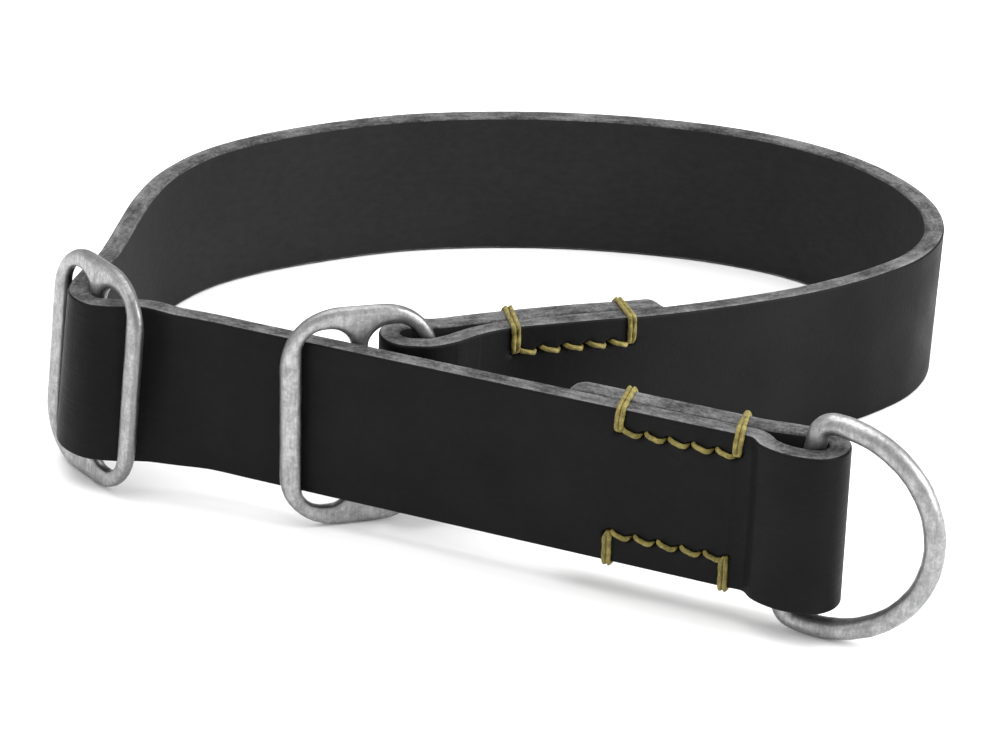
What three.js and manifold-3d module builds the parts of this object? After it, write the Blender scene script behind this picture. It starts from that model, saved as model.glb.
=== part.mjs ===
// A limited-slip martingale collar: one leather strap that stands on edge, threaded through a
// three-bar slip ring and a three-bar stop slide, with a D-ring sewn into its pull end.
// Millimetres, +Z up, the origin on the ground under the middle of the collar.
// +X runs towards the D-ring and +Y towards the back of the neck loop.
import * as THREE from 'three';
import { mergeVertices } from 'three/addons/utils/BufferGeometryUtils.js';
import Module from 'manifold-3d';

const wasm = await Module();
wasm.setup();

// Leather strap
const STRAP_WIDTH = 25;
const LEATHER = 3.2;
const EDGE_CHAMFER = 0.45;
const LAYER_GAP = 0.3; // between the two layers of a sewn end
const CUT_GAP = 0.3; // between the lengths of strap that move apart
const RISE = 5.6; // how far the slides hold the strap off the ground
const FOLD_RADIUS = 5.2; // outside of the leather around a ring's bar

// Three-bar slides: the slip ring and the stop slide are the same casting
const SLIDE_WIDTH = 24.4;
const SLIDE_HEIGHT = 36;
const SLIDE_THICKNESS = 2.2;
const SLIDE_CORNER = 9;
const LEG_WIDTH = 3.4;
const CENTRE_BAR_WIDTH = 2.6;
const OPENING_CORNER = 3.4;
const SLIDE_BEVEL = 1.05;

// D-ring of round wire
const WIRE_RADIUS = 1.6;
const D_DEPTH = 20.2; // from the bar's middle to the middle of the wire at the far side
const D_ARC_RADIUS = 16.3;
const D_CORNER_RADIUS = 2.6;

// Waxed thread, drawn as one body for each row of saddle stitches
const THREAD_RADIUS = 0.55;
const THREAD_GAP = 0.3;
const THREAD_SIDES = 6;
const AWL_RADIUS = 0.9;
const STITCH_PITCH = 3.62; // in the front strap
const STITCH_HOLES = 6;
// Heights of the rows of holes above the strap's lower edge
const PULL_ROWS = { bottom: 4.65, top: STRAP_WIDTH - 3.4 };
const LOOP_ROWS = { bottom: 4.1, top: STRAP_WIDTH - 4.1 };

// Places, from a point inside the neck loop. MIDDLE is the middle of the whole footprint, and the
// collar is moved at the end so that MIDDLE comes to the origin.
const MIDDLE = new THREE.Vector2(0.79, -18.07);
const PULL_ANGLE = degrees(-22.86); // direction of the straight front strap, towards the D-ring
const PULL_POINT = new THREE.Vector2(-30.15, -53.8); // a point on its outer face
const SLIP_RING = { x: -21, y: -52.5, yaw: degrees(16), lean: 0 };
const STOP_SLIDE = { x: -62.2, y: -38.8, yaw: degrees(-52.5), lean: degrees(5.5) };
const D_BAR = { x: 43.35, y: -82.3, yaw: degrees(-22.86), tilt: degrees(-8) };
const D_FOLD = new THREE.Vector2(44.8, -82.9);
const LOOP_FOLD = new THREE.Vector2(-13.1, -49.5);

function degrees(angle) {
  return THREE.MathUtils.degToRad(angle);
}

// ---- Solids -------------------------------------------------------------------------------

// Skins a row of equal outlines. An open row gets flat ends, a closed one joins up with itself.
function loft(outlines, closed = false) {
  const count = outlines[0].length;
  const positions = outlines.flat().flatMap((p) => [p.x, p.y, p.z]);
  const index = [];
  const last = closed ? outlines.length : outlines.length - 1;
  for (let i = 0; i < last; i++) {
    const here = i * count;
    const next = ((i + 1) % outlines.length) * count;
    for (let k = 0; k < count; k++) {
      const after = (k + 1) % count;
      index.push(here + k, here + after, next + after);
      index.push(here + k, next + after, next + k);
    }
  }
  if (!closed) {
    const far = (outlines.length - 1) * count;
    for (let k = 1; k < count - 1; k++) {
      index.push(0, k + 1, k);
      index.push(far, far + k, far + k + 1);
    }
  }
  const geometry = new THREE.BufferGeometry();
  geometry.setAttribute('position', new THREE.Float32BufferAttribute(positions, 3));
  geometry.setIndex(index);
  return geometry;
}

function toSolid(geometry) {
  const bare = geometry.clone();
  bare.deleteAttribute('normal');
  bare.deleteAttribute('uv');
  const merged = mergeVertices(bare, 1e-4);
  return new wasm.Manifold(
    new wasm.Mesh({
      numProp: 3,
      vertProperties: new Float32Array(merged.attributes.position.array),
      triVerts: new Uint32Array(merged.index.array),
    }),
  );
}

function toGeometry(solid) {
  const mesh = solid.getMesh();
  const geometry = new THREE.BufferGeometry();
  geometry.setAttribute('position', new THREE.Float32BufferAttribute(mesh.vertProperties, 3));
  geometry.setIndex(Array.from(mesh.triVerts));
  return geometry;
}

// A round rod between two points, run on a little at both ends so that rods join at corners.
function rod(from, to, radius, sides, runOn) {
  const along = to.clone().sub(from);
  const geometry = new THREE.CylinderGeometry(radius, radius, along.length() + 2 * runOn, sides);
  const turn = new THREE.Quaternion().setFromUnitVectors(
    new THREE.Vector3(0, 1, 0),
    along.clone().normalize(),
  );
  geometry.applyQuaternion(turn);
  const middle = from.clone().add(to).multiplyScalar(0.5);
  return geometry.translate(middle.x, middle.y, middle.z);
}

// ---- The strap's route ----------------------------------------------------------------------
// Every station lies on the grain face at mid-height. It holds the plan place, the height of the
// strap's lower edge and how far the strap leans inwards at the top. Going along the route the
// flesh side is on the right.

function station(x, y, rise, lean = 0) {
  return { x, y, rise, lean };
}

function pullStation(along) {
  const x = PULL_POINT.x + along * Math.cos(PULL_ANGLE);
  const y = PULL_POINT.y + along * Math.sin(PULL_ANGLE);
  return station(x, y, RISE);
}

// Stations on the outside of a fold, turning clockwise from one heading to another.
function foldStations(centre, fromHeading, toHeading, count) {
  const stations = [];
  for (let i = 0; i < count; i++) {
    const heading = THREE.MathUtils.lerp(fromHeading, toHeading, i / (count - 1));
    const outward = degrees(heading + 90);
    const x = centre.x + FOLD_RADIUS * Math.cos(outward);
    const y = centre.y + FOLD_RADIUS * Math.sin(outward);
    stations.push(station(x, y, RISE));
  }
  return stations;
}

// The second layer of a sewn end lies on the flesh side of the first and runs the other way.
function secondLayer(stations) {
  return stations
    .map((here, i) => {
      const before = stations[Math.max(i - 1, 0)];
      const after = stations[Math.min(i + 1, stations.length - 1)];
      const run = new THREE.Vector2(after.x - before.x, after.y - before.y).normalize();
      const offset = 2 * LEATHER + LAYER_GAP;
      return station(here.x + run.y * offset, here.y - run.x * offset, here.rise, here.lean);
    })
    .reverse();
}

const D_SEAM_START = 51.45; // along the front strap, the hole nearest the slip ring
const D_SEAM_END = D_SEAM_START + STITCH_PITCH * (STITCH_HOLES - 1);
const D_FLAP = 11; // leather beyond the last stitch
const LOOP_SEAM_SHIFT = 0.15; // of the spacing between stations
const STRAIGHT_START = -15; // where the front strap begins to bend towards the stop slide

const pullSewn = [2, -1, -9, D_SEAM_START - D_SEAM_END, D_SEAM_START - D_SEAM_END - D_FLAP]
  .map((beyondSeam) => pullStation(D_SEAM_END + beyondSeam));
const pullFold = [
  station(42.0, -76.4, RISE),
  ...foldStations(D_FOLD, -20, -172, 8),
  station(41.8, -87.4, RISE),
  station(39.0, -85.9, RISE),
  station(36.7, -83.6, RISE),
];
const pullStraight = [28, 16, 4, -8, STRAIGHT_START].map(pullStation);
const stopBend = [
  station(-49.5, -46.4, RISE, 2),
  station(-54.2, -44.8, RISE, 5.5),
  station(-59, -44.9, RISE, 5.5),
  station(-62.9, -44.2, RISE, 5.5),
  station(-65.7, -41.8, RISE, 5.5),
  station(-67.2, -38.6, RISE, 5.5),
  station(-67.2, -34.6, RISE, 5.5),
  station(-66, -29.4, RISE, 5.5),
  station(-65.7, -24.1, 4.3, 5),
  station(-65.1, -17, 2.4, 5),
  station(-64.5, -7, 0.7, 5),
  station(-63.5, 3, 0, 4.5),
  station(-61.7, 13.7, 0, 4),
  station(-58.6, 23.3, 0, 3),
];
const neckLoop = [
  station(-52.6, 32.9, 0, 2),
  station(-44.5, 40.1, 0, 1),
  station(-33.2, 46.6, 0),
  station(-18.9, 52.3, 0),
  station(-4, 55, 0),
  station(10, 55.6, 0),
  station(24.1, 54.3, 0),
  station(37.8, 51.2, 0),
  station(50, 45.9, 0),
  station(60.6, 37.6, 0, -1),
  station(68, 27.3, 0, -1.5),
  station(71.7, 16.6, 0, -1.5),
  station(71.5, 5.9, 0, -1.5),
  station(67.6, -3.3, 0, -1),
  station(60.3, -11, 0),
  station(50.5, -18.3, 0.2),
  station(40.2, -26.2, 1.5),
];
// Two stitches apart, the last one just past the hole nearest the slip ring.
const loopSewn = [
  station(28.6, -34.2, 3.1),
  station(22.1, -38.2, 4.0),
  station(15.3, -41.6, 4.8),
  station(8.3, -44.4, 5.2),
  station(1.2, -47.2, 5.5),
];
const loopFold = [
  station(-3.2, -50.0, RISE),
  station(-6.7, -52.9, RISE),
  station(-10.2, -54.6, RISE),
  ...foldStations(LOOP_FOLD, 188, 12, 8),
  station(-10.2, -44.2, RISE),
  station(-6.4, -42.9, RISE),
];

const route = [
  ...secondLayer(pullSewn),
  ...pullFold,
  ...pullSewn.slice(0, -1),
  ...pullStraight,
  ...stopBend,
  ...neckLoop,
  ...loopSewn,
  ...loopFold,
  ...secondLayer(loopSewn),
];
const routeCurve = new THREE.CatmullRomCurve3(
  route.map((s) => new THREE.Vector3(s.x, s.y, s.rise)),
  false,
  'centripetal',
);
const BEND_START = route.indexOf(pullStraight.at(-1));
const BEND_END = route.indexOf(stopBend.at(-1));
const LOOP_SEAM = route.indexOf(loopSewn.at(-1));
const ROUTE_END = route.length - 1;

// Plan place, inward direction, rise and lean at a position counted in stations.
function routeAt(position) {
  const share = THREE.MathUtils.clamp(position / ROUTE_END, 0, 1);
  const place = routeCurve.getPoint(share);
  place.z = Math.max(place.z, 0);
  const heading = routeCurve.getTangent(share).setZ(0).normalize();
  const before = Math.min(Math.floor(position), ROUTE_END - 1);
  const lean = THREE.MathUtils.lerp(route[before].lean, route[before + 1].lean, position - before);
  return { place, inward: new THREE.Vector3(heading.y, -heading.x, 0), lean: degrees(lean), heading };
}

// ---- Leather --------------------------------------------------------------------------------

// Corners of the strap's section: depth from the grain face, height above the lower edge.
function strapSection() {
  const c = EDGE_CHAMFER;
  const t = LEATHER;
  const w = STRAP_WIDTH;
  return [[c, 0], [0, c], [0, w - c], [c, w], [t - c, w], [t, w - c], [t, c], [t - c, 0]];
}

function strapOutline(position) {
  const { place, inward, lean } = routeAt(position);
  return strapSection().map(([depth, height]) => {
    const tip = (height - STRAP_WIDTH / 2) * Math.tan(lean);
    return place.clone().addScaledVector(inward, depth + tip).add(new THREE.Vector3(0, 0, height));
  });
}

// Positions along the route between two stations, closer together where the strap bends more.
function strapPositions(from, to) {
  const positions = [];
  for (let i = from; i < to; i++) {
    const turn = routeAt(i).heading.angleTo(routeAt(i + 1).heading);
    const steps = Math.max(2, Math.ceil(turn / degrees(8)));
    for (let k = 0; k < steps; k++) positions.push(i + k / steps);
  }
  return [...positions, to];
}

// One length of strap. Where it meets the next length it stops short by half of the cut gap.
function strapLength(from, to) {
  const positions = strapPositions(from, to);
  const trim = (i) => CUT_GAP / 2 / routeAt(i).place.distanceTo(routeAt(i + 1).place);
  if (from > 0) positions[0] += trim(from);
  if (to < ROUTE_END) positions[positions.length - 1] -= trim(to - 1);
  return loft(positions.map(strapOutline));
}

// Holes of one sewn end: a place on the grain face at the lower edge, and the inward direction.
function pullHoles() {
  const inward = new THREE.Vector3(-Math.sin(PULL_ANGLE), Math.cos(PULL_ANGLE), 0);
  return repeat(STITCH_HOLES, (i) => {
    const { x, y, rise } = pullStation(D_SEAM_START + i * STITCH_PITCH);
    return { place: new THREE.Vector3(x, y, rise), inward };
  });
}

function loopHoles() {
  return repeat(STITCH_HOLES, (i) => routeAt(LOOP_SEAM - LOOP_SEAM_SHIFT - i / 2));
}

function repeat(count, make) {
  return Array.from({ length: count }, (_, i) => make(i));
}

const SEWN_THICKNESS = 2 * LEATHER + LAYER_GAP;

function holePoint(hole, depth, height) {
  return hole.place.clone().addScaledVector(hole.inward, depth).add(new THREE.Vector3(0, 0, height));
}

// Awl holes run through both layers of a sewn end, so that thread and leather stay apart.
function punch(leather, holes, rows) {
  let solid = toSolid(leather);
  for (const hole of holes) {
    for (const height of Object.values(rows)) {
      const near = holePoint(hole, -1, height);
      const far = holePoint(hole, SEWN_THICKNESS + 1, height);
      solid = solid.subtract(toSolid(rod(near, far, AWL_RADIUS, 8, 0)));
    }
  }
  return toGeometry(solid);
}

// ---- Thread ---------------------------------------------------------------------------------

// A run of stitches along one face, from the first hole to the last.
function stitchRun(holes, depth, height) {
  return loft(
    holes.map((hole) =>
      repeat(THREAD_SIDES, (k) => {
        const around = (k / THREAD_SIDES) * 2 * Math.PI;
        const reach = THREAD_RADIUS * Math.cos(around);
        return holePoint(hole, depth + reach, height + THREAD_RADIUS * Math.sin(around));
      }),
    ),
  );
}

// Inside its hole and over the edge the thread is pulled thinner than on the face.
function pulledThread(from, to, thinning) {
  const radius = THREAD_RADIUS * thinning;
  return rod(from, to, radius, THREAD_SIDES, radius * 0.7);
}

// Saddle stitches along one row of holes, with a wrap over the strap's edge at both ends.
function seam(holes, rows, edge) {
  const clear = THREAD_GAP + THREAD_RADIUS;
  const near = -clear;
  const far = SEWN_THICKNESS + clear;
  const row = rows[edge];
  const beyond = edge === 'top' ? STRAP_WIDTH + clear : -clear;
  const pieces = [stitchRun(holes, near, row), stitchRun(holes, far, row)];
  for (const hole of holes) {
    pieces.push(pulledThread(holePoint(hole, near, row), holePoint(hole, far, row), 0.75));
  }
  for (const hole of [holes[0], holes.at(-1)]) {
    const wrap = [[near, row], [near, beyond], [far, beyond], [far, row]];
    const corners = wrap.map(([depth, height]) => holePoint(hole, depth, height));
    for (let i = 0; i < 3; i++) pieces.push(pulledThread(corners[i], corners[i + 1], 0.9));
  }
  return toGeometry(pieces.map(toSolid).reduce((whole, next) => whole.add(next)));
}

// ---- Metal ----------------------------------------------------------------------------------

function roundedRectangle(path, left, bottom, right, top, corner) {
  path.moveTo(left + corner, bottom);
  path.lineTo(right - corner, bottom);
  path.absarc(right - corner, bottom + corner, corner, -Math.PI / 2, 0);
  path.lineTo(right, top - corner);
  path.absarc(right - corner, top - corner, corner, 0, Math.PI / 2);
  path.lineTo(left + corner, top);
  path.absarc(left + corner, top - corner, corner, Math.PI / 2, Math.PI);
  path.lineTo(left, bottom + corner);
  path.absarc(left + corner, bottom + corner, corner, Math.PI, Math.PI * 1.5);
  return path;
}

// A cast frame with two openings, round-edged all over. It stands on edge across X.
function slideCasting() {
  const halfWidth = SLIDE_WIDTH / 2;
  const halfHeight = SLIDE_HEIGHT / 2;
  const outline = roundedRectangle(
    new THREE.Shape(), -halfWidth, -halfHeight, halfWidth, halfHeight, SLIDE_CORNER,
  );
  for (const side of [-1, 1]) {
    const edges = [side * (CENTRE_BAR_WIDTH / 2), side * (halfWidth - LEG_WIDTH)];
    const opening = roundedRectangle(
      new THREE.Path(), Math.min(...edges), LEG_WIDTH - halfHeight,
      Math.max(...edges), halfHeight - LEG_WIDTH, OPENING_CORNER,
    );
    outline.holes.push(opening);
  }
  const geometry = new THREE.ExtrudeGeometry(outline, {
    depth: SLIDE_THICKNESS - 2 * SLIDE_BEVEL,
    bevelThickness: SLIDE_BEVEL,
    bevelSize: SLIDE_BEVEL,
    bevelOffset: -SLIDE_BEVEL,
    bevelSegments: 2,
    curveSegments: 5,
  });
  geometry.center();
  return geometry.rotateX(Math.PI / 2);
}

// Stands a slide on the ground in its place. A leaning slide tips towards the inside of the loop.
function placeSlide({ x, y, yaw, lean }) {
  const geometry = slideCasting();
  geometry.rotateX(-lean).rotateZ(yaw);
  geometry.computeBoundingBox();
  return geometry.translate(x, y, -geometry.boundingBox.min.z);
}

// The D-ring's wire: a straight bar and one wide arc, joined by two tight corners.
function dRing() {
  const arcCentre = D_DEPTH - D_ARC_RADIUS;
  const between = D_ARC_RADIUS - D_CORNER_RADIUS; // from the arc's centre to a corner's centre
  const cornerHeight = Math.sqrt(between ** 2 - (arcCentre - D_CORNER_RADIUS) ** 2);
  const join = Math.atan2(cornerHeight, D_CORNER_RADIUS - arcCentre);
  const wire = [];
  const addArc = (u, v, radius, from, to, steps) => {
    for (let i = 0; i < steps; i++) {
      const angle = THREE.MathUtils.lerp(from, to, i / steps);
      wire.push({ u: u + radius * Math.cos(angle), v: v + radius * Math.sin(angle), angle });
    }
  };
  addArc(arcCentre, 0, D_ARC_RADIUS, -join, join, 28);
  addArc(D_CORNER_RADIUS, cornerHeight, D_CORNER_RADIUS, join, Math.PI, 4);
  wire.push({ u: 0, v: cornerHeight, angle: Math.PI });
  addArc(D_CORNER_RADIUS, -cornerHeight, D_CORNER_RADIUS, Math.PI, 2 * Math.PI - join, 4);
  const outlines = wire.map(({ u, v, angle }) =>
    repeat(12, (k) => {
      const around = (k / 12) * 2 * Math.PI;
      const reach = WIRE_RADIUS * Math.cos(around);
      return new THREE.Vector3(
        u + reach * Math.cos(angle), WIRE_RADIUS * Math.sin(around), v + reach * Math.sin(angle),
      );
    }),
  );
  const geometry = loft(outlines, true);
  geometry.rotateY(-D_BAR.tilt).rotateZ(D_BAR.yaw);
  geometry.computeBoundingBox();
  return geometry.translate(D_BAR.x, D_BAR.y, -geometry.boundingBox.min.z);
}

// ---- The collar -----------------------------------------------------------------------------

const LEATHER_LOOK = { color: 0x242425, roughness: 0.55, metalness: 0 };
const METAL_LOOK = { color: 0xa8a8a6, roughness: 0.45, metalness: 0.9 };
const THREAD_LOOK = { color: 0x8f8544, roughness: 0.7, metalness: 0 };

const collar = new THREE.Group();
collar.position.set(-MIDDLE.x, -MIDDLE.y, 0);

function addPiece(name, geometry, look) {
  const mesh = new THREE.Mesh(geometry, new THREE.MeshStandardMaterial(look));
  mesh.name = name;
  collar.add(mesh);
}

addPiece('strap_front', punch(strapLength(0, BEND_START), pullHoles(), PULL_ROWS), LEATHER_LOOK);
addPiece('strap_bend', strapLength(BEND_START, BEND_END), LEATHER_LOOK);
addPiece(
  'strap_neck', punch(strapLength(BEND_END, ROUTE_END), loopHoles(), LOOP_ROWS), LEATHER_LOOK,
);
addPiece('slip_ring', placeSlide(SLIP_RING), METAL_LOOK);
addPiece('stop_slide', placeSlide(STOP_SLIDE), METAL_LOOK);
addPiece('d_ring', dRing(), METAL_LOOK);
addPiece('pull_seam_top', seam(pullHoles(), PULL_ROWS, 'top'), THREAD_LOOK);
addPiece('pull_seam_bottom', seam(pullHoles(), PULL_ROWS, 'bottom'), THREAD_LOOK);
addPiece('loop_seam_top', seam(loopHoles(), LOOP_ROWS, 'top'), THREAD_LOOK);
addPiece('loop_seam_bottom', seam(loopHoles(), LOOP_ROWS, 'bottom'), THREAD_LOOK);

export default collar;
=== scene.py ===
"""Looks for a leather martingale collar: strap, slides, D-ring and saddle stitching.

Lengths are in millimetres inside the helpers and become metres when a mesh is made.
"""

import math

import bpy
import numpy as np
from mathutils import Matrix, Vector, noise


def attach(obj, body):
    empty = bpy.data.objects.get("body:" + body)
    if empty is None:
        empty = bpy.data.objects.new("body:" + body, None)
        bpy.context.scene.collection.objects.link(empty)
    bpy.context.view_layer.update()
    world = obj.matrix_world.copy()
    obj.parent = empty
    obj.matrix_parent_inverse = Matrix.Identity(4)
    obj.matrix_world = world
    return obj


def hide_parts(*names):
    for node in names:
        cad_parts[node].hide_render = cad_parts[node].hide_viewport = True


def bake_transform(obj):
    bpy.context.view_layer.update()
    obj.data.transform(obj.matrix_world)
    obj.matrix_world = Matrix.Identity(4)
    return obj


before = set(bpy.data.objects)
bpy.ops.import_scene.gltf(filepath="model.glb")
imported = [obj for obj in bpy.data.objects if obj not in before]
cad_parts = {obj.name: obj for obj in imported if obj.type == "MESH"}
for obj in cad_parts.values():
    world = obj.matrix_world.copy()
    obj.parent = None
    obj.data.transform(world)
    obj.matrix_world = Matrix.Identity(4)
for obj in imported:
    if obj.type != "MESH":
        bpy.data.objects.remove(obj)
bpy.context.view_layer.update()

MM = 0.001

# ---- Sizes, as in the CAD -----------------------------------------------------------------

WIDTH = 25.0
LEATHER = 3.2
LAYER_GAP = 0.3
RISE = 5.6
FOLD_RADIUS = 5.2
MIDDLE = np.array([0.79, -18.07])
PULL_ANGLE = -22.86
PULL_POINT = np.array([-30.15, -53.8])
SLIP_RING = dict(x=-21.0, y=-52.5, yaw=16.0, lean=0.0)
STOP_SLIDE = dict(x=-62.2, y=-38.8, yaw=-52.5, lean=5.5)
D_BAR = dict(x=43.35, y=-82.3, yaw=-22.86, tilt=-8.0)
D_FOLD = (44.8, -82.9)
LOOP_FOLD = (-13.1, -49.5)

STITCH_PITCH = 3.62
STITCH_HOLES = 6
PULL_ROWS = {"bottom": 4.65, "top": WIDTH - 3.4}  # heights of the rows of stitch holes
LOOP_ROWS = {"bottom": 4.1, "top": WIDTH - 4.1}
LOOP_SEAM_SHIFT = 0.15
SEWN = 2 * LEATHER + LAYER_GAP
D_SEAM_START = 51.45
D_SEAM_END = D_SEAM_START + STITCH_PITCH * (STITCH_HOLES - 1)
D_FLAP = 11.0


# ---- The strap's route, as in the CAD -------------------------------------------------------


def pull_station(along):
    a = math.radians(PULL_ANGLE)
    return (
        PULL_POINT[0] + along * math.cos(a),
        PULL_POINT[1] + along * math.sin(a),
        RISE,
        0.0,
    )


def fold_stations(centre, first, last, count):
    found = []
    for heading in np.linspace(first, last, count):
        outward = math.radians(heading + 90)
        x = centre[0] + FOLD_RADIUS * math.cos(outward)
        y = centre[1] + FOLD_RADIUS * math.sin(outward)
        found.append((x, y, RISE, 0.0))
    return found


def second_layer(stations):
    found = []
    for i, (x, y, rise, lean) in enumerate(stations):
        before = stations[max(i - 1, 0)]
        after = stations[min(i + 1, len(stations) - 1)]
        run = np.array([after[0] - before[0], after[1] - before[1]])
        run = run / np.linalg.norm(run)
        found.append((x + run[1] * SEWN, y - run[0] * SEWN, rise, lean))
    return found[::-1]


SEAM_LENGTH = D_SEAM_END - D_SEAM_START
pull_sewn = [pull_station(D_SEAM_END + a) for a in (2, -1, -9, -SEAM_LENGTH, -SEAM_LENGTH - D_FLAP)]
pull_fold = [
    (42.0, -76.4, RISE, 0),
    *fold_stations(D_FOLD, -20, -172, 8),
    (41.8, -87.4, RISE, 0),
    (39.0, -85.9, RISE, 0),
    (36.7, -83.6, RISE, 0),
]
pull_straight = [pull_station(a) for a in (28, 16, 4, -8, -15)]
stop_bend = [
    (-49.5, -46.4, RISE, 2),
    (-54.2, -44.8, RISE, 5.5),
    (-59, -44.9, RISE, 5.5),
    (-62.9, -44.2, RISE, 5.5),
    (-65.7, -41.8, RISE, 5.5),
    (-67.2, -38.6, RISE, 5.5),
    (-67.2, -34.6, RISE, 5.5),
    (-66, -29.4, RISE, 5.5),
    (-65.7, -24.1, 4.3, 5),
    (-65.1, -17, 2.4, 5),
    (-64.5, -7, 0.7, 5),
    (-63.5, 3, 0, 4.5),
    (-61.7, 13.7, 0, 4),
    (-58.6, 23.3, 0, 3),
]
neck_loop = [
    (-52.6, 32.9, 0, 2),
    (-44.5, 40.1, 0, 1),
    (-33.2, 46.6, 0, 0),
    (-18.9, 52.3, 0, 0),
    (-4, 55, 0, 0),
    (10, 55.6, 0, 0),
    (24.1, 54.3, 0, 0),
    (37.8, 51.2, 0, 0),
    (50, 45.9, 0, 0),
    (60.6, 37.6, 0, -1),
    (68, 27.3, 0, -1.5),
    (71.7, 16.6, 0, -1.5),
    (71.5, 5.9, 0, -1.5),
    (67.6, -3.3, 0, -1),
    (60.3, -11, 0, 0),
    (50.5, -18.3, 0.2, 0),
    (40.2, -26.2, 1.5, 0),
]
loop_sewn = [
    (28.6, -34.2, 3.1, 0),
    (22.1, -38.2, 4.0, 0),
    (15.3, -41.6, 4.8, 0),
    (8.3, -44.4, 5.2, 0),
    (1.2, -47.2, 5.5, 0),
]
loop_fold = [
    (-3.2, -50.0, RISE, 0),
    (-6.7, -52.9, RISE, 0),
    (-10.2, -54.6, RISE, 0),
    *fold_stations(LOOP_FOLD, 188, 12, 8),
    (-10.2, -44.2, RISE, 0),
    (-6.4, -42.9, RISE, 0),
]
pull_flap = second_layer(pull_sewn)
loop_flap = second_layer(loop_sewn)
ROUTE = np.array(
    pull_flap
    + pull_fold
    + pull_sewn[:-1]
    + pull_straight
    + stop_bend
    + neck_loop
    + loop_sewn
    + loop_fold
    + loop_flap,
    float,
)
PULL_NEAR = len(pull_flap) + len(pull_fold)  # first station of the near sewn layer
BEND_FIRST = PULL_NEAR + len(pull_sewn) - 1 + len(pull_straight)  # first station of stop_bend
NECK_FIRST = BEND_FIRST + len(stop_bend)
LOOP_NEAR = NECK_FIRST + len(neck_loop)
LOOP_FAR = LOOP_NEAR + len(loop_sewn) + len(loop_fold)


def spline_at(position):
    """Place and direction on a centripetal Catmull-Rom curve at positions counted in stations."""
    points = ROUTE[:, :3]
    points = np.vstack([2 * points[0] - points[1], points, 2 * points[-1] - points[-2]])
    position = np.clip(np.atleast_1d(position).astype(float), 0, len(ROUTE) - 1)
    span = np.minimum(position.astype(int), len(ROUTE) - 2)
    share = (position - span)[:, None]
    p0, p1, p2, p3 = (points[span + k] for k in range(4))
    d0, d1, d2 = (
        np.maximum(np.linalg.norm(b - a, axis=1) ** 0.5, 1e-4)[:, None]
        for a, b in ((p0, p1), (p1, p2), (p2, p3))
    )
    m1 = ((p1 - p0) / d0 - (p2 - p0) / (d0 + d1) + (p2 - p1) / d1) * d1
    m2 = ((p2 - p1) / d1 - (p3 - p1) / (d1 + d2) + (p3 - p2) / d2) * d1
    c2 = -3 * p1 + 3 * p2 - 2 * m1 - m2
    c3 = 2 * p1 - 2 * p2 + m1 + m2
    place = p1 + share * (m1 + share * (c2 + share * c3))
    heading = m1 + share * (2 * c2 + 3 * share * c3)
    lean = np.interp(position, np.arange(len(ROUTE)), ROUTE[:, 3])
    place[:, 2] = np.maximum(place[:, 2], 0)
    place[:, :2] -= MIDDLE
    heading[:, 2] = 0
    heading /= np.linalg.norm(heading, axis=1)[:, None]
    return place, heading, lean


FINE = np.linspace(0, len(ROUTE) - 1, (len(ROUTE) - 1) * 120 + 1)
fine_place, fine_heading, _ = spline_at(FINE)
FINE_LENGTH = np.concatenate([[0], np.cumsum(np.linalg.norm(np.diff(fine_place, axis=0), axis=1))])
turning = np.arctan2(
    fine_heading[:-1, 0] * fine_heading[1:, 1] - fine_heading[:-1, 1] * fine_heading[1:, 0],
    (fine_heading[:-1] * fine_heading[1:]).sum(1),
)
CURVATURE = np.append(turning / np.maximum(np.diff(FINE_LENGTH), 1e-6), 0)
ROUTE_LENGTH = FINE_LENGTH[-1]


def length_at(station):
    return float(np.interp(station, FINE, FINE_LENGTH))


def route_at(run):
    """Place on the grain face at the lower edge, direction, inward direction and lean, at lengths
    along the strap."""
    place, heading, lean = spline_at(np.interp(run, FINE_LENGTH, FINE))
    inward = np.stack([heading[:, 1], -heading[:, 0], np.zeros(len(heading))], axis=1)
    return place, heading, inward, np.tan(np.radians(lean))


def point_at(run, depth, height):
    """One point in the leather or beside it."""
    place, _, inward, slope = route_at(np.array([run], float))
    tip = (height - WIDTH / 2) * slope[0]
    return place[0] + inward[0] * (depth + tip) + np.array([0, 0, height])


# ---- Stitch holes ---------------------------------------------------------------------------
# Each sewn end has two rows of holes. A hole is given by its length along the strap on the near
# layer, and the far layer has its partner straight behind it.

PULL_NEAR_RUNS = [
    length_at(PULL_NEAR) + (2 + SEAM_LENGTH) - i * STITCH_PITCH for i in range(STITCH_HOLES)
]
LOOP_NEAR_RUNS = [
    length_at(LOOP_NEAR + len(loop_sewn) - 1 - LOOP_SEAM_SHIFT - i / 2) for i in range(STITCH_HOLES)
]


def partner(run, first, last):
    """Length along the far layer that lies straight behind a hole of the near layer."""
    place, _, inward, _ = route_at(np.array([run]))
    target = (place + inward * SEWN)[0]
    runs = np.linspace(first, last, 2000)
    found = route_at(runs)[0]
    return float(runs[np.argmin(np.linalg.norm(found[:, :2] - target[:2], axis=1))])


PULL_FAR_RUNS = [partner(r, 0, length_at(len(pull_flap))) for r in PULL_NEAR_RUNS]
LOOP_FAR_RUNS = [partner(r, length_at(LOOP_FAR - 2), ROUTE_LENGTH) for r in LOOP_NEAR_RUNS]
PULL_SHIFTS = {"bottom": 1.0, "top": 0.0}  # of a row towards the slip ring
LOOP_SHIFTS = {"bottom": 0.0, "top": 0.0}
ALL_HOLES = [
    (run + shifts[edge] * way, rows[edge])
    for runs, rows, shifts, way in (
        (PULL_NEAR_RUNS, PULL_ROWS, PULL_SHIFTS, 1),
        (PULL_FAR_RUNS, PULL_ROWS, PULL_SHIFTS, -1),
        (LOOP_NEAR_RUNS, LOOP_ROWS, LOOP_SHIFTS, 1),
        (LOOP_FAR_RUNS, LOOP_ROWS, LOOP_SHIFTS, -1),
    )
    for run in runs
    for edge in rows
]

# ---- Leather mesh -----------------------------------------------------------------------------

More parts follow.
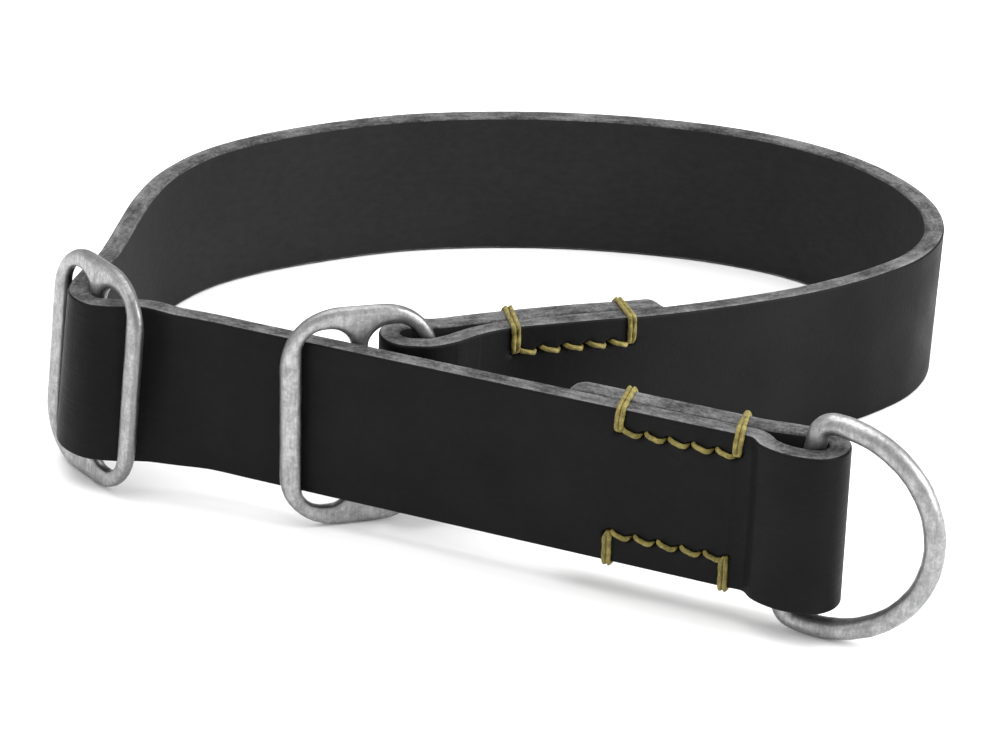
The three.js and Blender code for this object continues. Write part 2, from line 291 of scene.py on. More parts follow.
CORNER = 0.4  # round of the bevelled edges
FLAP_CORNER = 4.0  # round of the flap ends seen from the side


def face_heights():
    """Heights of the points on the grain face, closer together at the rows of holes."""
    marks = [CORNER]
    rows = [*PULL_ROWS.values(), *LOOP_ROWS.values()]
    while marks[-1] < WIDTH - CORNER:
        near_row = min(abs(marks[-1] + 0.3 - row) for row in rows) < 1.3
        marks.append(marks[-1] + (0.28 if near_row else 1.1))
    marks = np.array(marks)
    return CORNER + (marks - CORNER) * (WIDTH - 2 * CORNER) / (marks[-1] - CORNER)


def section():
    """Depth, height and kind (0 grain, 1 edge, 2 flesh) of the points round the strap."""
    quarter = np.radians(np.array([22.5, 45, 67.5]))
    rows = [(0.0, h, 0) for h in face_heights()]
    rows += [(CORNER * (1 - math.cos(q)), WIDTH - CORNER * (1 - math.sin(q)), 0) for q in quarter]
    rows += [(d, WIDTH, 1) for d in np.linspace(CORNER, LEATHER - CORNER, 7)]
    rows += [
        (LEATHER - CORNER * (1 - math.sin(q)), WIDTH - CORNER * (1 - math.cos(q)), 1) for q in quarter
    ]
    rows += [(LEATHER, h, 2) for h in np.linspace(WIDTH - CORNER, CORNER, 15)]
    rows += [(LEATHER - CORNER * (1 - math.cos(q)), CORNER * (1 - math.sin(q)), 1) for q in quarter]
    rows += [(d, 0.0, 1) for d in np.linspace(LEATHER - CORNER, CORNER, 7)]
    rows += [(CORNER * (1 - math.sin(q)), CORNER * (1 - math.cos(q)), 0) for q in quarter]
    return np.array(rows)


SECTION = section()


PLAIN_STEP = 1.0  # between rows of the mesh
FOLD_STEP = 0.5
HOLE_STEP = 0.3
END_STEP = 0.25
FOLD_CURVATURE = 0.03  # where the strap counts as folding
HOLE_REACH = 2.2


def strap_runs(first, last):
    """Lengths along the strap for the mesh's rows, closer together at holes, folds and ends."""
    runs = [first]
    hole_runs = np.array([h[0] for h in ALL_HOLES])
    while runs[-1] < last:
        here = runs[-1]
        step = PLAIN_STEP
        if abs(np.interp(here + PLAIN_STEP, FINE_LENGTH, CURVATURE)) > FOLD_CURVATURE:
            step = FOLD_STEP
        if np.abs(hole_runs - here).min() < HOLE_REACH:
            step = HOLE_STEP
        if min(here, ROUTE_LENGTH - here) < FLAP_CORNER:
            step = END_STEP
        runs.append(here + step)
    runs = np.array(runs)
    return first + (runs - first) * (last - first) / (runs[-1] - first)


SLIT_LENGTH = 0.85
SLIT_WIDTH = 0.42
SLIT_COSINE, SLIT_SINE = 0.8, 0.6  # of the slit's slant
HOLE_DEPTH = 0.95


def hole_mask(runs, heights):
    """How deep in an awl hole each place lies, from 0 to 1. A hole is a short slanted slit."""
    mask = np.zeros(np.broadcast(runs, heights).shape)
    for run, height in ALL_HOLES:
        far = run < length_at(len(pull_flap)) or run > length_at(LOOP_FAR - 2)
        along = (runs - run) * (-1 if far else 1)
        up = heights - height
        lengthwise = (along * SLIT_COSINE - up * SLIT_SINE) / SLIT_LENGTH
        crosswise = (along * SLIT_SINE + up * SLIT_COSINE) / SLIT_WIDTH
        mask = np.maximum(mask, np.exp(-(lengthwise**2) - crosswise**2))
    return mask


FLAP_BEVEL = 0.35
FLAP_BEVEL_LENGTH = 0.5
EDGE_ROUGHNESS = 0.07
FLESH_CORNER_ROUGHNESS = 0.03
FLESH_ROUGHNESS = 0.05
SHARP_BEND = 0.12  # curvature at which the creases are strongest


def roughness_at(run, depth, height):
    """Uneven surface of the cut edges and the flesh side, about -1 to 1."""
    broad = noise.noise(Vector((run * 0.9, depth * 1.1, height * 0.35)))
    return broad + 0.6 * noise.noise(Vector((run * 3.1, depth * 2.7, height)))


def strap_grid(runs):
    """Points, normals and shading values for a length of strap, as arrays of rows by section."""
    place, heading, inward, slope = route_at(runs)
    depth, height, kind = SECTION[:, 0], SECTION[:, 1], SECTION[:, 2]
    up = np.array([0.0, 0.0, 1.0])

    # The flap ends are cut with round corners and a bevel all round.
    from_end = np.minimum(runs, ROUTE_LENGTH - runs)
    inset = np.where(
        from_end < FLAP_CORNER,
        FLAP_CORNER - np.sqrt(np.maximum(FLAP_CORNER**2 - (FLAP_CORNER - from_end) ** 2, 0)),
        0,
    )
    inset = np.minimum(inset, FLAP_CORNER * 0.9)
    heights = inset[:, None] + height * (WIDTH - 2 * inset[:, None]) / WIDTH
    bevel = np.clip(1 - from_end / FLAP_BEVEL_LENGTH, 0, 1) ** 2 * FLAP_BEVEL
    depths = bevel[:, None] + depth * (LEATHER - 2 * bevel[:, None]) / LEATHER
    depths = np.broadcast_to(depths, heights.shape).copy()

    # Cut edges are a little uneven, the flesh side more so, and the grain dips at the holes.
    rough = np.zeros(heights.shape)
    for i, run in enumerate(runs):
        for k in np.nonzero(kind > 0)[0]:
            rough[i, k] = roughness_at(run, depth[k], height[k])
    holes = hole_mask(runs[:, None], heights)
    holes[:, kind != 0] = 0
    sign = np.where(height > WIDTH / 2, 1.0, -1.0)
    flat_edge = (kind == 1) & ((height == 0) | (height == WIDTH))
    amount = np.where(flat_edge, EDGE_ROUGHNESS, np.where(kind == 1, FLESH_CORNER_ROUGHNESS, 0))
    heights = np.maximum(heights + rough * amount * sign, 0.0)
    depths = depths + np.where(kind == 2, rough * FLESH_ROUGHNESS, 0) + holes * HOLE_DEPTH

    tip = (heights - WIDTH / 2) * slope[:, None]
    points = (
        place[:, None, :]
        + inward[:, None, :] * (depths + tip)[..., None]
        + up * heights[..., None]
    )
    along = np.gradient(points, axis=0)
    around = np.roll(points, -1, axis=1) - np.roll(points, 1, axis=1)
    normals = np.cross(around, along)
    normals /= np.maximum(np.linalg.norm(normals, axis=2), 1e-9)[..., None]
    bend = np.abs(np.interp(runs, FINE_LENGTH, CURVATURE))
    return points, normals, holes, np.clip(bend / SHARP_BEND, 0, 1), depths, heights


def strap_piece(name, grid, runs, first, last, materials):
    """One piece of strap from the whole strap's grid, closed at both cuts."""
    points, normals, holes, bend, depths, heights = (a[first : last + 1] for a in grid)
    rows, count = points.shape[:2]
    index = np.arange(rows * count).reshape(rows, count)
    after = np.roll(index, -1, axis=1)
    quads = np.stack([index[:-1], after[:-1], after[1:], index[1:]], axis=-1).reshape(-1, 4)
    quad_kind = np.tile(face_kind(), rows - 1)
    caps = [index[0][::-1].tolist(), index[-1].tolist()]
    mesh = bpy.data.meshes.new(name)
    mesh.from_pydata((points.reshape(-1, 3) * MM).tolist(), [], quads.tolist() + caps)
    for material in materials:
        mesh.materials.append(material)
    mesh.polygons.foreach_set("material_index", np.append(quad_kind, [1, 1]).astype(np.int32))
    mesh.polygons.foreach_set("use_smooth", np.ones(len(mesh.polygons), bool))
    run = np.broadcast_to(runs[first : last + 1, None], (rows, count))
    vectors = np.stack([run, heights, depths], axis=-1) * MM
    add_attribute(mesh, "strap", "FLOAT_VECTOR", vectors)
    add_attribute(mesh, "hole", "FLOAT", holes)
    add_attribute(mesh, "bend", "FLOAT", np.broadcast_to(bend[:, None], (rows, count)))
    loop_normals = normals.reshape(-1, 3)[quads.reshape(-1)].tolist()
    for cap in caps:
        ring = points.reshape(-1, 3)[cap]
        middle = ring - ring.mean(0)
        flat = np.cross(middle, np.roll(middle, -1, axis=0)).sum(0)
        loop_normals += [(flat / np.linalg.norm(flat)).tolist()] * len(cap)
    mesh.validate()
    mesh.normals_split_custom_set(loop_normals)
    piece = bpy.data.objects.new(name, mesh)
    bpy.context.collection.objects.link(piece)
    return piece


def face_kind():
    """Material of each strip between two neighbours of the section."""
    kind = SECTION[:, 2]
    following = np.roll(kind, -1)
    return np.where((kind == 0) & (following == 0), 0, np.where((kind == 2) & (following == 2), 2, 1))


def add_attribute(mesh, name, kind, values):
    attribute = mesh.attributes.new(name, kind, "POINT")
    key = "vector" if kind == "FLOAT_VECTOR" else "value"
    attribute.data.foreach_set(key, np.ascontiguousarray(values, np.float32).ravel())


# ---- Materials --------------------------------------------------------------------------------


class Nodes:
    """A small helper to write a material's node tree in lines of code."""

    def __init__(self, name):
        self.material = bpy.data.materials.new(name)
        self.material.use_nodes = True
        self.tree = self.material.node_tree
        self.shader = self.tree.nodes["Principled BSDF"]

    def add(self, kind, inputs=None, **settings):
        node = self.tree.nodes.new(kind)
        for key, value in settings.items():
            setattr(node, key, value)
        for key, value in (inputs or {}).items():
            self.put(node.inputs[key], value)
        return node

    def put(self, socket, value):
        if isinstance(value, bpy.types.NodeSocket):
            self.tree.links.new(value, socket)
        else:
            socket.default_value = value

    def set(self, **inputs):
        for key, value in inputs.items():
            self.put(self.shader.inputs[key.replace("_", " ")], value)

    def attribute(self, name, output):
        return self.add("ShaderNodeAttribute", attribute_name=name).outputs[output]

    def stretched(self, vector, scale):
        return self.add(
            "ShaderNodeMapping", {"Vector": vector, "Scale": scale}, vector_type="POINT"
        ).outputs[0]

    def noise(self, vector, scale, detail=4.0, roughness=0.55):
        inputs = {"Vector": vector, "Scale": scale, "Detail": detail, "Roughness": roughness}
        return self.add("ShaderNodeTexNoise", inputs).outputs["Fac"]

    def cells(self, vector, scale, feature="F1"):
        node = self.add("ShaderNodeTexVoronoi", {"Vector": vector, "Scale": scale}, feature=feature)
        return node.outputs["Distance"]

    def math(self, operation, a, b=0.0):
        return self.add("ShaderNodeMath", {0: a, 1: b}, operation=operation).outputs[0]

    def remap(self, value, low, high, to_low=0.0, to_high=1.0):
        inputs = {"Value": value, 1: low, 2: high, 3: to_low, 4: to_high}
        return self.add("ShaderNodeMapRange", inputs).outputs[0]

    def ramp(self, value, *stops):
        node = self.add("ShaderNodeValToRGB", {"Fac": value})
        ramp = node.color_ramp
        while len(ramp.elements) < len(stops):
            ramp.elements.new(0.5)
        for element, (place, colour) in zip(ramp.elements, stops):
            element.position = place
            element.color = (*colour, 1)
        return node.outputs["Color"]

    def mix(self, share, a, b):
        node = self.add("ShaderNodeMix", data_type="RGBA")
        self.put(node.inputs["Factor"], share)
        self.put(node.inputs[6], a)
        self.put(node.inputs[7], b)
        return node.outputs[2]

    def bump(self, height, strength, distance, normal=None):
        inputs = {"Height": height, "Strength": strength, "Distance": distance}
        if normal is not None:
            inputs["Normal"] = normal
        return self.add("ShaderNodeBump", inputs).outputs[0]


def grey(value):
    return (value, value, value * 1.01)


def grain_leather():
    n = Nodes("leather_grain")
    place = n.attribute("strap", "Vector")
    hole = n.attribute("hole", "Fac")
    bend = n.attribute("bend", "Fac")
    cloud = n.noise(place, 55.0, 3.0)
    fleck = n.noise(place, 900.0, 2.0)
    shade = n.math("ADD", n.math("MULTIPLY", cloud, 0.7), n.math("MULTIPLY", fleck, 0.3))
    skin = n.ramp(shade, (0.3, grey(0.0032)), (0.7, grey(0.0062)))
    # Painted shade: the grain turns near-black inside the awl holes.
    colour = n.mix(n.remap(hole, 0.15, 0.75), skin, (*grey(0.001), 1))
    pores = n.cells(n.stretched(place, (1.0, 1.25, 1.0)), 1500.0)
    fine = n.noise(place, 2600.0, 3.0)
    lines = n.noise(n.stretched(place, (260.0, 1300.0, 260.0)), 1.0, 3.0)
    creases = n.math("MULTIPLY", lines, n.math("MULTIPLY", bend, 2.2))
    relief = n.math("ADD", n.math("MULTIPLY", pores, 0.5), n.math("MULTIPLY", fine, 0.6))
    relief = n.math("ADD", relief, creases)
    n.set(
        Base_Color=colour,
        Roughness=n.remap(n.noise(place, 120.0, 4.0), 0.3, 0.7, 0.46, 0.6),
        Specular_IOR_Level=0.08,
        Normal=n.bump(relief, 0.35, 0.00012),
    )
    return n.material


def edge_leather():
    n = Nodes("leather_edge")
    place = n.attribute("strap", "Vector")
    parts = n.add("ShaderNodeSeparateXYZ", {0: place})
    depth = parts.outputs["Z"]
    fibre = n.noise(n.stretched(place, (420.0, 1500.0, 1500.0)), 1.0, 5.0, 0.65)
    speck = n.noise(place, 2300.0, 3.0, 0.7)
    patch = n.noise(place, 130.0, 3.0)
    # Painted highlight: the cut edge is lighter in a strip along its grain side.
    painted_edge_highlight = n.math("SUBTRACT", 1.0, n.remap(depth, 0.0002, 0.0012))
    value = n.math("ADD", n.math("MULTIPLY", fibre, 0.55), n.math("MULTIPLY", speck, 0.45))
    value = n.math("ADD", value, n.math("MULTIPLY", painted_edge_highlight, 0.08))
    value = n.math("ADD", value, n.math("MULTIPLY", n.math("SUBTRACT", patch, 0.5), 0.5))
    colour = n.ramp(
        value, (0.34, grey(0.012)), (0.45, grey(0.045)), (0.55, grey(0.09)), (0.72, grey(0.17))
    )
    n.set(
        Base_Color=colour,
        Roughness=n.remap(fibre, 0.2, 0.8, 0.7, 0.9),
        Specular_IOR_Level=0.2,
        Normal=n.bump(value, 0.9, 0.0003),
    )
    return n.material


def flesh_leather():
    n = Nodes("leather_flesh")
    place = n.attribute("strap", "Vector")
    fibre = n.noise(n.stretched(place, (500.0, 900.0, 900.0)), 1.0, 5.0, 0.65)
    nap = n.noise(place, 2600.0, 3.0, 0.7)
    cloud = n.noise(place, 45.0, 3.0)
    value = n.math("ADD", n.math("MULTIPLY", fibre, 0.4), n.math("MULTIPLY", nap, 0.25))
    value = n.math("ADD", value, n.math("MULTIPLY", cloud, 0.35))
    colour = n.ramp(value, (0.3, grey(0.009)), (0.7, grey(0.02)))
    n.set(
        Base_Color=colour,
        Roughness=n.remap(nap, 0.3, 0.7, 0.75, 0.9),
        Specular_IOR_Level=0.14,
        Normal=n.bump(value, 0.6, 0.0002),
    )
    return n.material


def cast_metal(name, light, dark):
    n = Nodes(name)
    place = n.add("ShaderNodeTexCoord").outputs["Object"]
    blotch = n.noise(place, 420.0, 5.0, 0.7)
    grains = n.noise(place, 1900.0, 3.0, 0.7)
    scratch = n.noise(n.stretched(place, (2600.0, 2600.0, 260.0)), 1.0, 3.0, 0.6)
    value = n.math("ADD", n.math("MULTIPLY", blotch, 0.45), n.math("MULTIPLY", grains, 0.3))
    value = n.math("ADD", value, n.math("MULTIPLY", scratch, 0.25))
    colour = n.ramp(value, (0.36, grey(dark)), (0.5, grey((light + dark) / 2)), (0.6, grey(light)))
    # Painted shade: the chamfers and sides of a slide are mixed towards a darker grey.
    painted_rim_shade = n.math("MULTIPLY", n.attribute("painted_rim_shade", "Fac"), 0.62)
    colour = n.mix(painted_rim_shade, colour, (*grey(dark * 0.6), 1))
    n.set(
        Base_Color=colour,
        Metallic=1.0,
        Roughness=n.remap(value, 0.35, 0.65, 0.5, 0.34),
        Normal=n.bump(value, 0.3, 0.00015),
    )
    return n.material


def waxed_thread():
    n = Nodes("thread_waxed")
    place = n.add("ShaderNodeTexCoord").outputs["Object"]
    tone = n.noise(place, 900.0, 3.0)
    fibre = n.noise(place, 5200.0, 2.0)
    value = n.math("ADD", n.math("MULTIPLY", tone, 0.6), n.math("MULTIPLY", fibre, 0.4))
    colour = n.ramp(
        value, (0.32, (0.05, 0.04, 0.006)), (0.5, (0.16, 0.128, 0.026)), (0.68, (0.3, 0.25, 0.07))
    )
    n.set(
        Base_Color=colour,
        Roughness=n.remap(fibre, 0.3, 0.7, 0.5, 0.7),
        Specular_IOR_Level=0.4,
        Normal=n.bump(fibre, 0.5, 0.0001),
    )
    return n.material


LEATHER_MATERIALS = [grain_leather(), edge_leather(), flesh_leather()]
RING_METAL = cast_metal("tumbled_metal", 0.43, 0.19)
WIRE_METAL = cast_metal("tumbled_wire", 0.38, 0.17)
THREAD = waxed_thread()

# ---- Strap pieces -----------------------------------------------------------------------------
# The strap is cut at the stop slide and again on the left of the neck loop. The first two
# pieces stay where they are made, and the last one follows the neck loop.

WEAVE_CUT = length_at(BEND_FIRST + 2.3)  # in the stop slide's near opening
NECK_CUT = length_at(NECK_FIRST + 0.9)

strap = [
    strap_runs(0, WEAVE_CUT),
    strap_runs(WEAVE_CUT, NECK_CUT)[1:],
    strap_runs(NECK_CUT, ROUTE_LENGTH)[1:],
]
all_runs = np.concatenate(strap)
grid = strap_grid(all_runs)
first_cut = len(strap[0]) - 1
second_cut = first_cut + len(strap[1])

pull_strap = strap_piece("pull_strap", grid, all_runs, 0, first_cut, LEATHER_MATERIALS)
stop_strap = strap_piece("stop_strap", grid, all_runs, first_cut, second_cut, LEATHER_MATERIALS)
neck_strap = strap_piece(
    "neck_strap", grid, all_runs, second_cut, len(all_runs) - 1, LEATHER_MATERIALS
)

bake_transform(pull_strap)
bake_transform(stop_strap)
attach(neck_strap, "neck_loop")
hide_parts("strap_front")
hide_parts("strap_bend")
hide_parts("strap_neck")


# ---- Slides -------------------------------------------------------------------------------------

SLIDE_WIDTH = 24.4
SLIDE_HEIGHT = 36.0
SLIDE_THICKNESS = 2.1  # 0.1 less than in the CAD, to clear the strap when the slip ring rocks
SLIDE_CORNER = 9.0
LEG_WIDTH = 3.4
CENTRE_BAR = 2.6
OPENING_CORNER = 3.4
SLIDE_CHAMFER = 0.98
WEAR = 0.04  # height of the uneven surface
VOXEL = 0.24
FLAT_FACE = 0.97  # a normal closer than this to the casting's own normal lies on its flat face; the chamfers and sides beyond it get painted shade
PAINTED_SHADE_FALL = 0.4


def rounded_rectangle(left, bottom, right, top, corner, steps=12):
    points = []
    centres = [
        (right - corner, bottom + corner, -90),
        (right - corner, top - corner, 0),
        (left + corner, top - corner, 90),
        (left + corner, bottom + corner, 180),
    ]
    for x, y, first in centres:
        for a in np.radians(np.linspace(first, first + 90, steps)):
            points.append((x + corner * math.cos(a), y + corner * math.sin(a)))
    return points


def slide_piece(name, x, y, yaw, lean):
    """A cast slide: its outline filled and chamfered, then remeshed so that every corner softens."""
    curve = bpy.data.curves.new(name, "CURVE")
    curve.dimensions = "2D"
    curve.fill_mode = "BOTH"
    curve.extrude = (SLIDE_THICKNESS / 2 - SLIDE_CHAMFER) * MM
    curve.bevel_depth = SLIDE_CHAMFER * MM
    curve.bevel_resolution = 1
    curve.offset = -SLIDE_CHAMFER * MM
    half_width, half_height = SLIDE_WIDTH / 2, SLIDE_HEIGHT / 2
    inner, outer = CENTRE_BAR / 2, half_width - LEG_WIDTH
    top = half_height - LEG_WIDTH
    outlines = [
        rounded_rectangle(-half_width, -half_height, half_width, half_height, SLIDE_CORNER),
        rounded_rectangle(inner, -top, outer, top, OPENING_CORNER),
        rounded_rectangle(-outer, -top, -inner, top, OPENING_CORNER),
    ]
    for outline in outlines:
        spline = curve.splines.new("POLY")
        spline.points.add(len(outline) - 1)
        for point, (u, v) in zip(spline.points, outline):
            point.co = (u * MM, v * MM, 0, 1)
        spline.use_cyclic_u = True
    flat = bpy.data.objects.new(name + "_flat", curve)
    bpy.context.collection.objects.link(flat)
    remesh = flat.modifiers.new("remesh", "REMESH")
    remesh.mode = "VOXEL"
    remesh.voxel_size = VOXEL * MM
    smooth = flat.modifiers.new("smooth", "SMOOTH")
    smooth.iterations = 3
    smooth.factor = 0.5
    bpy.context.view_layer.update()
    graph = bpy.context.evaluated_depsgraph_get()
    mesh = bpy.data.meshes.new_from_object(flat.evaluated_get(graph))
    bpy.data.objects.remove(flat)
    mesh.name = name
    turn = Matrix.Rotation(math.radians(90), 4, "X")
    turn = Matrix.Rotation(math.radians(-lean), 4, "X") @ turn
    turn = Matrix.Rotation(math.radians(yaw), 4, "Z") @ turn
    mesh.transform(turn)
    co = np.zeros(len(mesh.vertices) * 3, np.float32)
    mesh.vertices.foreach_get("co", co)
    co = co.reshape(-1, 3)
    normals = np.zeros(len(mesh.vertices) * 3, np.float32)
    mesh.vertices.foreach_get("normal", normals)
    normals = normals.reshape(-1, 3)
    across = np.array((turn @ Vector((0, 0, 1))).to_tuple())
    # Painted shade mask: 0 on the flat faces, rising to 1 on the chamfers and sides.
    painted_rim_shade = np.clip((FLAT_FACE - np.abs(normals @ across)) / PAINTED_SHADE_FALL, 0, 1)
    wear = [noise.noise(Vector(p) * 320) + 0.5 * noise.noise(Vector(p) * 1100) for p in co.tolist()]
    co += normals * (WEAR * np.array(wear)[:, None] * MM)
    co += [(x - MIDDLE[0]) * MM, (y - MIDDLE[1]) * MM, -co[:, 2].min()]
    mesh.vertices.foreach_set("co", co.ravel())
    mesh.polygons.foreach_set("use_smooth", np.ones(len(mesh.polygons), bool))
    add_attribute(mesh, "painted_rim_shade", "FLOAT", painted_rim_shade)
    mesh.materials.clear()
    mesh.materials.append(RING_METAL)
    piece = bpy.data.objects.new(name, mesh)
    bpy.context.collection.objects.link(piece)
    return piece


slip_slide = slide_piece("slip_slide", **SLIP_RING)
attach(slip_slide, "slip")
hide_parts("slip_ring")
stop_casting = slide_piece("stop_casting", **STOP_SLIDE)
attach(stop_casting, "stop")
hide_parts("stop_slide")


# ---- D-ring -------------------------------------------------------------------------------------

WIRE_RADIUS = 1.6
D_DEPTH = 20.2
D_ARC_RADIUS = 16.3
D_CORNER = 2.6


def tube(path, radius_at, sides, closed):
    """A mesh tube along a path. radius_at gives the radius for a row's length and an angle."""
    path = np.array(path, float)
    if closed:
        tangent = np.roll(path, -1, axis=0) - np.roll(path, 1, axis=0)
    else:
        tangent = np.gradient(path, axis=0)
    tangent /= np.linalg.norm(tangent, axis=1)[:, None]
    length = np.concatenate([[0], np.cumsum(np.linalg.norm(np.diff(path, axis=0), axis=1))])
    side = np.cross(tangent[0], [0.31, 0.17, 0.94])
    side /= np.linalg.norm(side)
    sides_at = []
    for direction in tangent:
        side = side - direction * (side @ direction)
        side /= np.linalg.norm(side)
        sides_at.append(side)
    sides_at = np.array(sides_at)
    other = np.cross(tangent, sides_at)
    angle = np.linspace(0, 2 * math.pi, sides, endpoint=False)
    radius = radius_at(length[:, None], angle[None, :])
    points = path[:, None, :] + radius[..., None] * (
        np.cos(angle)[None, :, None] * sides_at[:, None, :]
        + np.sin(angle)[None, :, None] * other[:, None, :]
    )
    rows = len(path)
    index = np.arange(rows * sides).reshape(rows, sides)
    if closed:  # the frame carried round comes back turned, so the last row joins the first shifted
        twist = math.atan2(sides_at[-1] @ other[0], sides_at[-1] @ sides_at[0])
        shift = int(round(twist / (2 * math.pi) * sides))
        lower = index
        upper = np.vstack([index[1:], np.roll(index[:1], -shift, axis=1)])
    else:
        lower, upper = index[:-1], index[1:]
    quads = np.stack(
        [lower, np.roll(lower, -1, axis=1), np.roll(upper, -1, axis=1), upper], axis=-1
    ).reshape(-1, 4)
    faces = quads.tolist()
    if not closed:
        faces += [index[0][::-1].tolist(), index[-1].tolist()]
    return points.reshape(-1, 3), faces


def mesh_piece(name, parts, material):
    """One object from several lists of points and faces."""
    points, faces, start = [], [], 0
    for part_points, part_faces in parts:
        points.append(part_points)
        faces += [[start + i for i in face] for face in part_faces]
        start += len(part_points)
    mesh = bpy.data.meshes.new(name)
    mesh.from_pydata((np.concatenate(points) * MM).tolist(), [], faces)
    mesh.polygons.foreach_set("use_smooth", np.ones(len(faces), bool))
    mesh.materials.append(material)
    mesh.validate()
    piece = bpy.data.objects.new(name, mesh)
    bpy.context.collection.objects.link(piece)
    return piece


def d_ring_path():
    """Middle of the D-ring's wire in its own plane, the straight bar on the Z axis."""
    centre = D_DEPTH - D_ARC_RADIUS
    between = D_ARC_RADIUS - D_CORNER
    height = math.sqrt(between**2 - (centre - D_CORNER) ** 2)
    join = math.atan2(height, D_CORNER - centre)
    arcs = [
        (centre, 0, D_ARC_RADIUS, -join, join, 90),
        (D_CORNER, height, D_CORNER, join, math.pi, 14),
    ]
    path = []
    for u, v, radius, first, last, steps in arcs:
        for a in np.linspace(first, last, steps, endpoint=False):
            path.append((u + radius * math.cos(a), v + radius * math.sin(a)))
    for v in np.linspace(height, -height, 40, endpoint=False):
        path.append((0.0, v))
    for a in np.linspace(math.pi, 2 * math.pi - join, 14, endpoint=False):
        path.append((D_CORNER + D_CORNER * math.cos(a), -height + D_CORNER * math.sin(a)))
    tilt, yaw = math.radians(D_BAR["tilt"]), math.radians(D_BAR["yaw"])
    points = []
    for u, v in path:
        across = u * math.cos(tilt) - v * math.sin(tilt)
        up = v * math.cos(tilt) + u * math.sin(tilt)
        points.append((across, up))
    points = np.array(points)
    low = points[:, 1].min() - WIRE_RADIUS
    x = D_BAR["x"] - MIDDLE[0] + points[:, 0] * math.cos(yaw)
    y = D_BAR["y"] - MIDDLE[1] + points[:, 0] * math.sin(yaw)
    return np.stack([x, y, points[:, 1] - low], axis=1)


def wire_radius(length, angle):
    return WIRE_RADIUS + 0.02 * np.sin(length * 0.9 + 2 * angle) + 0.015 * np.sin(length * 2.3)


leash_wire = mesh_piece("leash_wire", [tube(d_ring_path(), wire_radius, 28, True)], WIRE_METAL)
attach(leash_wire, "leash_ring")
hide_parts("d_ring")


# ---- Stitching ------------------------------------------------------------------------------------

STRAND = 0.36
HOLE_TO_STITCH = 0.66
WRAP_SPACING = 0.72  # between the two strands of a wrap
CLEAR = 0.31  # of the strand's middle from the leather


def strand_radius(length, angle):
    """Three twisted plies."""
    return STRAND * (1 + 0.11 * np.cos(3 * angle - length * 2.6))


def smooth_path(points, step=0.16):
    """A Catmull-Rom curve through a few points, as a dense list."""
    points = np.array(points, float)
    padded = np.vstack([2 * points[0] - points[1], points, 2 * points[-1] - points[-2]])
    path = []
    for i in range(len(points) - 1):
        p0, p1, p2, p3 = padded[i : i + 4]
        count = max(2, int(np.linalg.norm(p2 - p1) / step))
        for t in np.linspace(0, 1, count, endpoint=False):
            path.append(
                0.5
                * (
                    2 * p1
                    + (p2 - p0) * t
                    + (2 * p0 - 5 * p1 + 4 * p2 - p3) * t * t
                    + (3 * p1 - p0 - 3 * p2 + p3) * t**3
                )
            )
    path.append(points[-1])
    return path


def strand(points):
    return tube(smooth_path(points), strand_radius, 15, False)


def face_stitches(runs, row):
    """Slanted stitches on one face, each out of one hole's upper end and into the next one's
    lower end."""
    parts = []
    for here, there in zip(runs, runs[1:]):
        direction = 1 if there > here else -1
        a = here + direction * HOLE_TO_STITCH
        b = there - direction * HOLE_TO_STITCH
        lift = [(a - direction * 0.2, 1.0, 0.24), (a, 0.2, 0.3), (a + direction * 0.5, -0.28, 0.22)]
        drop = [(b - direction * 0.5, -0.28, -0.22), (b, 0.2, -0.3), (b + direction * 0.2, 1.0, -0.24)]
        middle = [((a + b) / 2, -0.36, 0.0)]
        points = [point_at(run, depth, row + rise) for run, depth, rise in lift + middle + drop]
        parts.append(strand(points))
    return parts


def edge_wrap(near, row, edge_height, lean, skew):
    """Two strands side by side from a hole over the strap's edge to its partner behind. lean is how
    far along the strap they shift on the way to the edge, and skew on the way across it."""
    parts = []
    up = 1 if edge_height > row else -1
    turn = CORNER + CLEAR
    for offset in (-WRAP_SPACING / 2, WRAP_SPACING / 2):
        rise = [(1.0, row), (0.05, row + up * 0.1), (-CLEAR, row + up * 0.8)]
        rise += [(-CLEAR, (row + edge_height) / 2), (-CLEAR, edge_height - up * CORNER)]
        for angle in np.radians((30, 60, 90)):
            depth = CORNER - turn * math.cos(angle)
            rise.append((depth, edge_height - up * (CORNER - turn * math.sin(angle))))
        rise.append((LEATHER, edge_height + up * CLEAR))
        fall = [(SEWN - depth, height) for depth, height in reversed(rise)]
        points = []
        for depth, height in rise + fall:
            share = min((height - row) / (edge_height - row), 1)
            spread = offset * (0.5 if 0 < depth < SEWN and share < 0.5 else 1)
            across = min(max(depth / SEWN, 0), 1)
            points.append(point_at(near + spread + (lean + skew * across) * share, depth, height))
        parts.append(strand(points))
    return parts


def seam_piece(name, near_runs, far_runs, rows, edge, lean, skew, body, node):
    row = rows[edge]
    edge_height = WIDTH if edge == "top" else 0.0
    parts = face_stitches(near_runs, row) + face_stitches(far_runs, row)
    for near in (near_runs[0], near_runs[-1]):
        parts += edge_wrap(near, row, edge_height, lean, skew)
    piece = mesh_piece(name, parts, THREAD)
    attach(piece, body)
    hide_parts(node)
    return piece


# Lean and skew of the wraps at each edge
PULL_WRAPS = {"top": (-0.3, 1.0), "bottom": (0.0, 0.3)}
LOOP_WRAPS = {"top": (0.0, -1.3), "bottom": (0.0, 0.0)}
for end, near_runs, far_runs, rows, shifts, body, wraps in (
    ("pull", PULL_NEAR_RUNS, PULL_FAR_RUNS, PULL_ROWS, PULL_SHIFTS, "pull_end", PULL_WRAPS),
    ("loop", LOOP_NEAR_RUNS, LOOP_FAR_RUNS, LOOP_ROWS, LOOP_SHIFTS, "neck_loop", LOOP_WRAPS),
):
    for edge, (lean, skew) in wraps.items():
        name = f"{end}_stitches_{edge}"
        node = f"{end}_seam_{edge}"
        near = [run + shifts[edge] for run in near_runs]
        far = [run - shifts[edge] for run in far_runs]
        seam_piece(name, near, far, rows, edge, lean, skew, body, node)


# ---- Floor, light and camera ------------------------------------------------------------------------


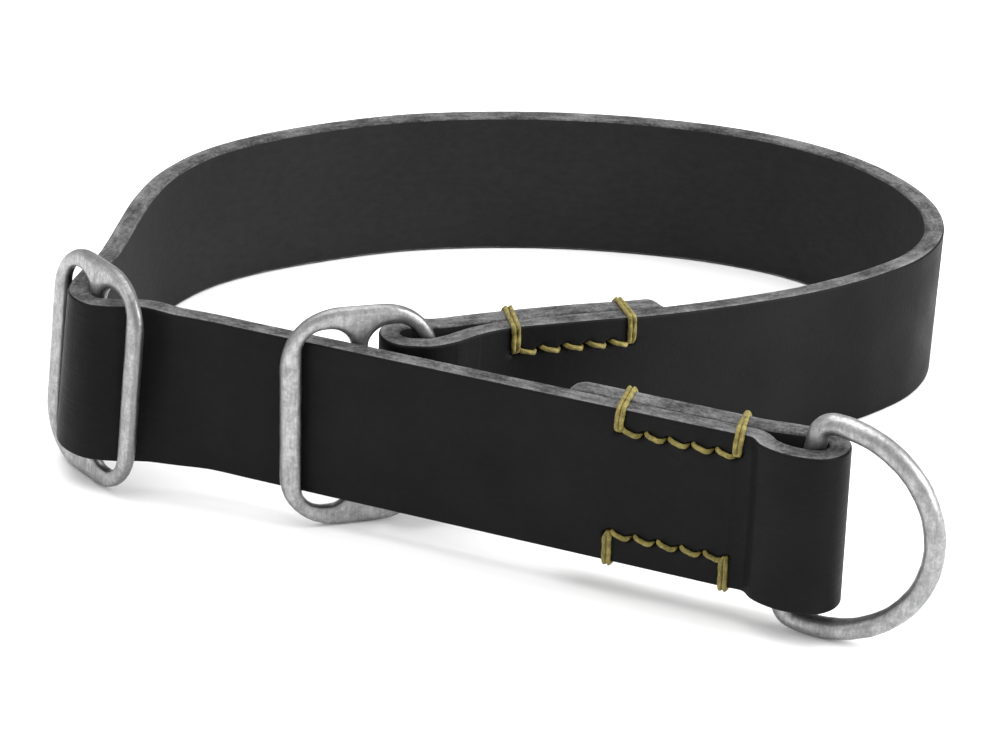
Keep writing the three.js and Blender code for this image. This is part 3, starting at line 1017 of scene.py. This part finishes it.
def floor_piece():
    n = Nodes("paper")
    n.set(Base_Color=(0.93, 0.93, 0.93, 1), Roughness=0.9, Specular_IOR_Level=0.1)
    mesh = bpy.data.meshes.new("floor")
    reach = 4.0
    corners = [(-reach, -reach, 0), (reach, -reach, 0), (reach, reach, 0), (-reach, reach, 0)]
    mesh.from_pydata([(x, y, -0.00005) for x, y, _ in corners], [], [(0, 1, 2, 3)])
    mesh.materials.append(n.material)
    piece = bpy.data.objects.new("floor", mesh)
    bpy.context.collection.objects.link(piece)


def area_light(name, place, target, size, power):
    lamp = bpy.data.lights.new(name, "AREA")
    lamp.shape = "DISK"
    lamp.size = size
    lamp.energy = power
    holder = bpy.data.objects.new(name, lamp)
    holder.location = place
    aim = Vector(target) - Vector(place)
    holder.rotation_mode = "QUATERNION"
    holder.rotation_quaternion = aim.to_track_quat("-Z", "Y")
    bpy.context.collection.objects.link(holder)


floor_piece()
area_light("overhead", (0.0, 0.1, 1.1), (0, 0, 0), 1.3, 14.0)
area_light("left", (-1.0, -0.3, 0.7), (0, 0, 0), 0.8, 2.5)
area_light("right", (0.95, -0.25, 0.45), (0, 0, 0), 0.6, 11.0)

world = bpy.data.worlds.new("studio")
world.use_nodes = True
background = world.node_tree.nodes["Background"]
background.inputs["Color"].default_value = (1, 1, 1, 1)
background.inputs["Strength"].default_value = 0.92
bpy.context.scene.world = world
bpy.context.scene.view_settings.view_transform = "Standard"

CAMERA_PLACE = (-MIDDLE[0], -550.24 - MIDDLE[1], 264.3)
CAMERA_PITCH = math.radians(25.65)
CAMERA_ROLL = math.radians(1.63)
forward = Vector((0, math.cos(CAMERA_PITCH), -math.sin(CAMERA_PITCH)))
level_up = Vector((0, math.sin(CAMERA_PITCH), math.cos(CAMERA_PITCH)))
right = Vector((1, 0, 0)) * math.cos(CAMERA_ROLL) + level_up * math.sin(CAMERA_ROLL)
above = level_up * math.cos(CAMERA_ROLL) - Vector((1, 0, 0)) * math.sin(CAMERA_ROLL)
lens = bpy.data.cameras.new("camera")
lens.sensor_width = 36.0
lens.lens = 133.2
lens.clip_start = 0.01
lens.clip_end = 100.0
camera = bpy.data.objects.new("camera", lens)
camera.matrix_world = Matrix.Translation(Vector(CAMERA_PLACE) * MM) @ Matrix(
    (right, above, -forward)
).transposed().to_4x4()
bpy.context.collection.objects.link(camera)
bpy.context.scene.camera = camera
